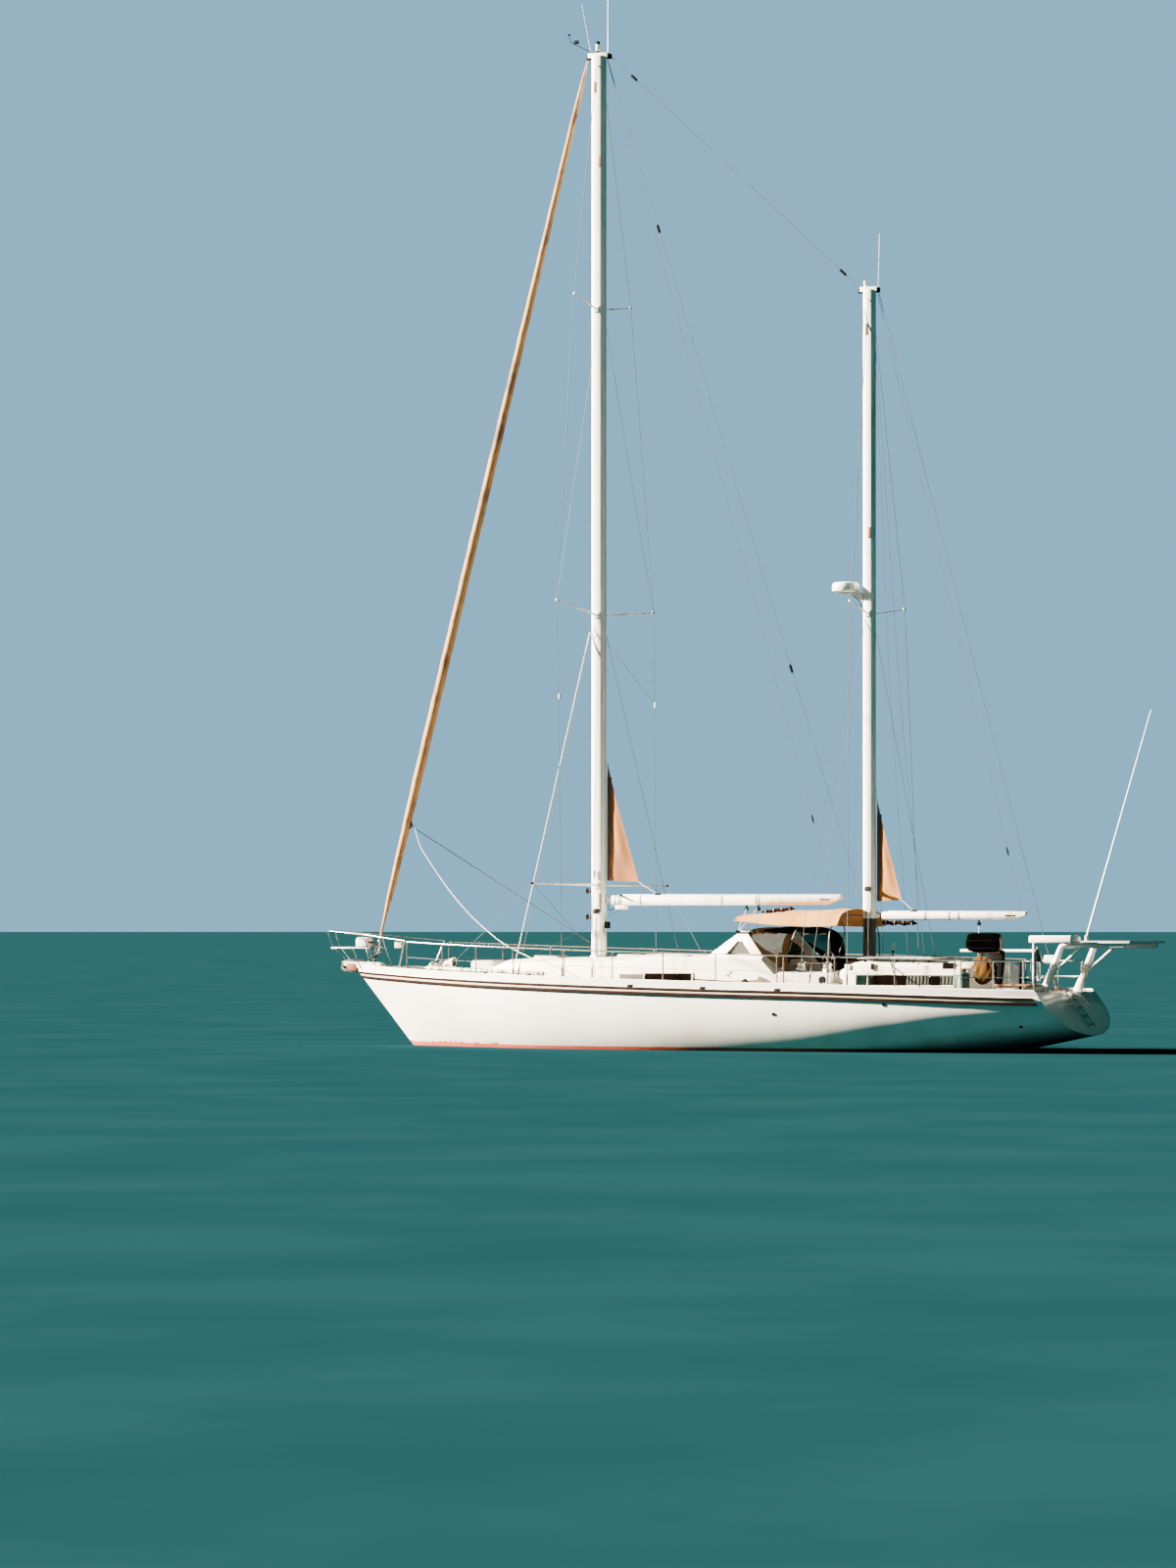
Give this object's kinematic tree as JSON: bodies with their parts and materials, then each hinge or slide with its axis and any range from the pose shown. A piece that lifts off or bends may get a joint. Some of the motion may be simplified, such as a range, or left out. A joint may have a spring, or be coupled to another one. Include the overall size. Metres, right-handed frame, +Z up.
{
  "type": "sailing yacht",
  "caption": "Centre-cockpit cruising ketch afloat, with furled sails, cockpit canvas, stern davits and deck gear.",
  "frame": {"origin": "on the waterline amidships, on the centreline", "axes": "+X forward to the bow, +Y to port, +Z up"},
  "size_m": [18.4075, 6.1406, 23.3],
  "materials": {
    "gelcoat": "white gelcoat, slightly chalked",
    "antifouling": "matt red antifouling paint",
    "mast_paint": "white painted aluminium",
    "steel": "polished stainless steel",
    "canvas": "sand acrylic canvas",
    "brown_canvas": "dark brown acrylic canvas",
    "sailcloth": "tan sailcloth",
    "teak": "weathered teak",
    "bronze": "bronze",
    "galvanised": "weathered galvanised steel",
    "engine_paint": "grey engine enamel",
    "solar_cells": "dark solar cells under glass",
    "smoked_acrylic": "smoked acrylic in a metal frame",
    "black_cover": "black canvas cover",
    "khaki_canvas": "khaki canvas",
    "rope": "white braided rope"
  },
  "bodies": {
    "boat": {"hull": "gelcoat", "ballast_keel": "antifouling", "engine_block": "engine_paint", "cockpit_sole": "teak", "fore_coachroof": "gelcoat", "aft_coachroof": "gelcoat", "windscreen_frame": "gelcoat", "dodger": "brown_canvas", "bimini": "canvas", "bimini_frame": "steel", "steering_pedestal": "gelcoat", "main_mast": "mast_paint", "mizzen_mast": "mast_paint", "main_lower_spreader_port": "mast_paint", "main_lower_spreader_starboard": "mast_paint", "main_upper_spreader_port": "mast_paint", "main_upper_spreader_starboard": "mast_paint", "mizzen_spreader_port": "mast_paint", "mizzen_spreader_starboard": "mast_paint", "jockey_strut_port": "mast_paint", "jockey_strut_starboard": "mast_paint", "main_cap_shroud_port": "steel", "main_cap_shroud_starboard": "steel", "mizzen_cap_shroud_port": "steel", "mizzen_cap_shroud_starboard": "steel", "main_backstay": "steel", "triatic_stay": "steel", "mizzen_backstay": "steel", "furled_genoa": "sailcloth", "radar": "gelcoat", "guard_rail_port": "steel", "guard_rail_starboard": "steel", "pulpit": "steel", "pushpit": "steel", "davit_port": "gelcoat", "davit_starboard": "gelcoat", "solar_panel_aft": "solar_cells", "solar_panel_port": "gelcoat", "whip_antenna": "gelcoat", "anchor": "galvanised", "windlass": "steel", "covered_outboard": "black_cover", "deck_bag": "khaki_canvas", "genoa_sheet": "rope"},
    "main_boom": {"main_boom": "mast_paint", "mainsail_clew": "sailcloth"},
    "mizzen_boom": {"mizzen_boom": "mast_paint", "mizzen_sail_clew": "sailcloth"},
    "rudder": {"rudder": "antifouling"},
    "steering_wheel": {"steering_wheel": "steel"},
    "propeller": {"propeller": "bronze"},
    "fore_hatch": {"fore_hatch": "smoked_acrylic"},
    "saloon_hatch": {"saloon_hatch": "smoked_acrylic"},
    "aft_hatch": {"aft_hatch": "smoked_acrylic"},
    "companionway_door": {"companionway_door": "teak"},
    "boarding_ladder": {"boarding_ladder": "steel"}
  },
  "joints": [
    {"name": "main_boom_swing", "type": "hinge", "parent": "boat", "child": "main_boom", "pos_m": [2.38, 0, 2.97], "axis": [0, 0, 1], "range_deg": [-60, 60]},
    {"name": "mizzen_boom_swing", "type": "hinge", "parent": "boat", "child": "mizzen_boom", "pos_m": [-3.545, 0, 2.65], "axis": [0, 0, 1], "range_deg": [-55, 55]},
    {"name": "rudder_turn", "type": "hinge", "parent": "boat", "child": "rudder", "pos_m": [-5.85, 0, -0.8], "axis": [0, 0, 1], "range_deg": [-35, 35]},
    {"name": "wheel_turn", "type": "hinge", "parent": "boat", "child": "steering_wheel", "pos_m": [-2.52, 0, 1.56], "axis": [1, 0, 0], "range_deg": [-271, 271]},
    {"name": "propeller_spin", "type": "hinge", "parent": "boat", "child": "propeller", "pos_m": [-4.25, 0, -0.77], "axis": [-0.9764, 0, -0.2158], "continuous": true},
    {"name": "fore_hatch_open", "type": "hinge", "parent": "boat", "child": "fore_hatch", "pos_m": [3.9, 0, 1.833], "axis": [0, 1, 0], "range_deg": [0, 100]},
    {"name": "saloon_hatch_open", "type": "hinge", "parent": "boat", "child": "saloon_hatch", "pos_m": [2.02, 0, 1.863], "axis": [0, 1, 0], "range_deg": [0, 100]},
    {"name": "aft_hatch_open", "type": "hinge", "parent": "boat", "child": "aft_hatch", "pos_m": [-4.83, 0, 1.803], "axis": [0, 1, 0], "range_deg": [0, 100]},
    {"name": "companionway_door_open", "type": "hinge", "parent": "boat", "child": "companionway_door", "pos_m": [-1.085, 0.35, 1.41], "axis": [0, 0, -1], "range_deg": [0, 105]},
    {"name": "boarding_ladder_fold", "type": "hinge", "parent": "boat", "child": "boarding_ladder", "pos_m": [-8.0776, 0, 0.48], "axis": [0, -1, 0], "range_deg": [0, 185]}
  ],
  "couplings": [
    {"joint": "wheel_turn", "follows": "rudder_turn", "ratio": 7.7143}
  ]
}
